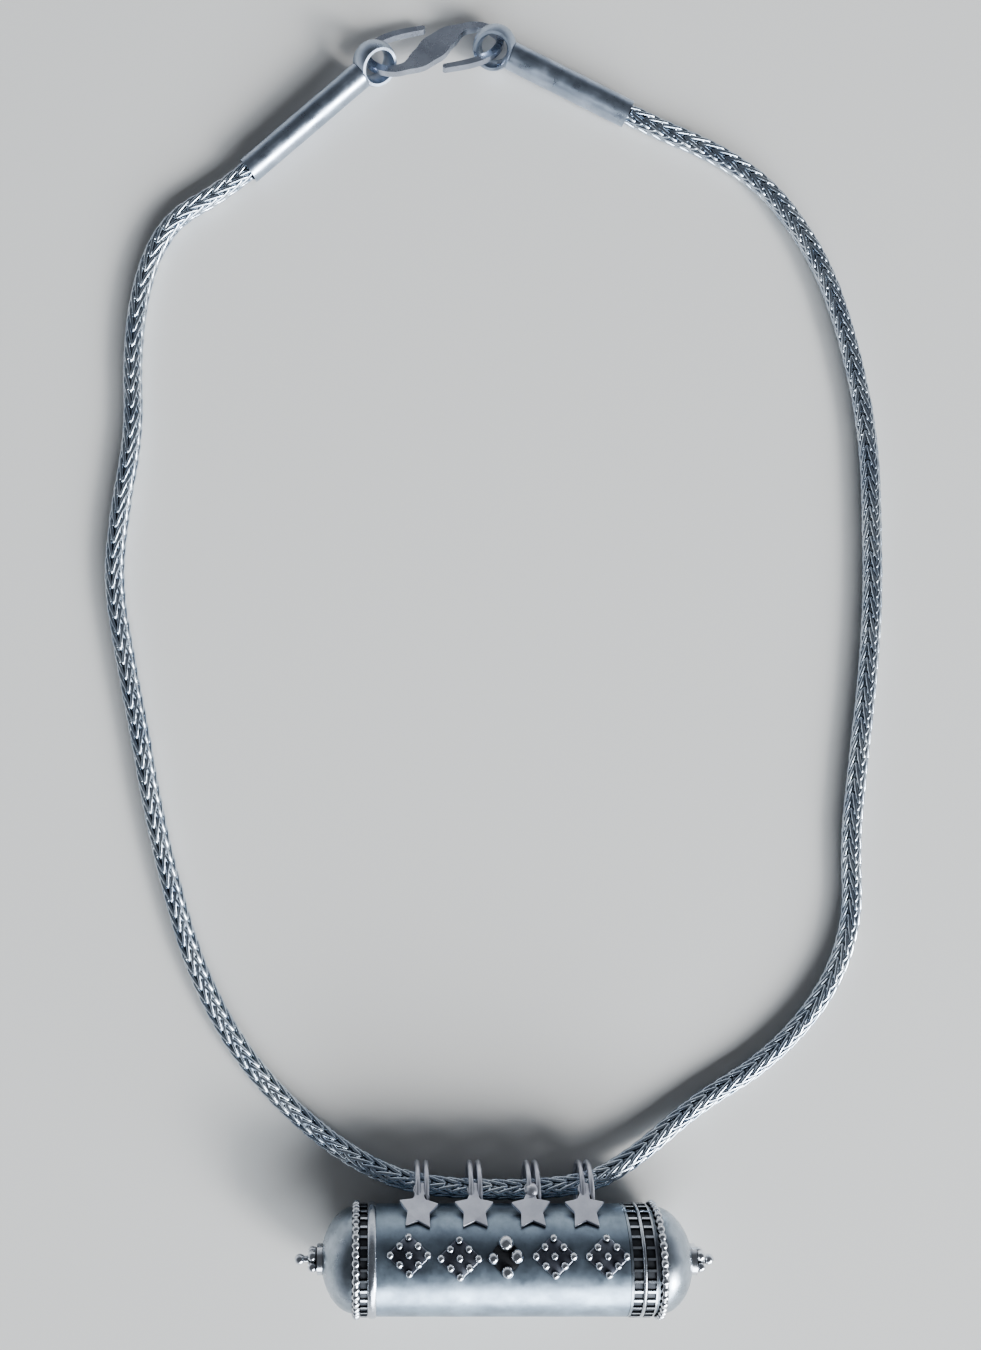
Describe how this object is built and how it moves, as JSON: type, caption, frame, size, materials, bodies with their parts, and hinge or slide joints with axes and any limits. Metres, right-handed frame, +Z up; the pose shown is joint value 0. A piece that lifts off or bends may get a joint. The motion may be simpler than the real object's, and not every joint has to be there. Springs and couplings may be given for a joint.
{
  "type": "mezuzah case pendant necklace",
  "caption": "Silver tube amulet case with domed ends, a slide-off cap and rolled parchment, hung from four ring bails on a woven chain closed by an S hook.",
  "frame": {"origin": "middle of the case's footprint with its bails, on the ground it lies on, without the chain", "axes": "+X along the case towards the removable cap, +Y across the case towards the chain's clasp, +Z up"},
  "size_m": [0.1132, 0.185, 0.0164],
  "materials": {
    "oxidised_silver": "oxidised, worn bright on high spots",
    "worn_silver": "satin, dark in recesses",
    "worn_silver_grains": "satin, dark between grains",
    "chain_silver": "polished wire, dark in the weave",
    "polished_silver": "polished, fine scratches",
    "parchment": "matt, yellowed"
  },
  "bodies": {
    "case": {"case_tube": "oxidised_silver", "case_spigot": "oxidised_silver", "fixed_end_dome": "oxidised_silver", "fixed_end_beaded_wire": "worn_silver_grains", "fixed_end_cell_band": "oxidised_silver", "fixed_end_smooth_wire": "oxidised_silver", "fixed_end_finial": "worn_silver_grains", "flower_granules": "worn_silver_grains", "diamond_plate_1": "oxidised_silver", "diamond_plate_2": "oxidised_silver", "diamond_plate_3": "oxidised_silver", "diamond_plate_4": "oxidised_silver", "diamond_granules_1": "worn_silver_grains", "diamond_granules_2": "worn_silver_grains", "diamond_granules_3": "worn_silver_grains", "diamond_granules_4": "worn_silver_grains", "bail_1": "worn_silver", "bail_2": "worn_silver", "bail_3": "worn_silver", "bail_4": "worn_silver", "star_1": "worn_silver", "star_2": "worn_silver", "star_3": "worn_silver", "star_4": "worn_silver"},
    "cap": {"cap_shell": "oxidised_silver", "cap_rung_band_inner": "oxidised_silver", "cap_ridge_wire": "oxidised_silver", "cap_rung_band_outer": "oxidised_silver", "cap_edge_strip": "oxidised_silver", "cap_beaded_wire": "worn_silver_grains", "cap_finial": "worn_silver_grains"},
    "scroll": {"parchment_scroll": "parchment"},
    "chain": {"neck_chain": "chain_silver", "end_cap_left": "polished_silver", "end_cap_right": "polished_silver", "end_eye_left": "polished_silver", "end_eye_right": "polished_silver"},
    "clasp": {"s_hook_clasp": "polished_silver"}
  },
  "joints": [
    {"name": "cap_slide", "type": "slide", "parent": "case", "child": "cap", "axis": [1, 0, 0], "range_m": [0, 0.044]},
    {"name": "scroll_slide", "type": "slide", "parent": "case", "child": "scroll", "axis": [1, 0, 0], "range_m": [0, 0.022]},
    {"name": "chain_tilt", "type": "hinge", "parent": "case", "child": "chain", "pos_m": [0, 0.00587, 0.0035], "axis": [1, 0, 0], "range_deg": [0, 65]},
    {"name": "hook_roll", "type": "hinge", "parent": "chain", "child": "clasp", "pos_m": [-0.00965, 0.17032, 0.00275], "axis": [0.9928, 0.1201, 0], "range_deg": [-3, 3]}
  ],
  "couplings": [
    {"joint": "scroll_slide", "follows": "cap_slide", "ratio": 0.5}
  ]
}
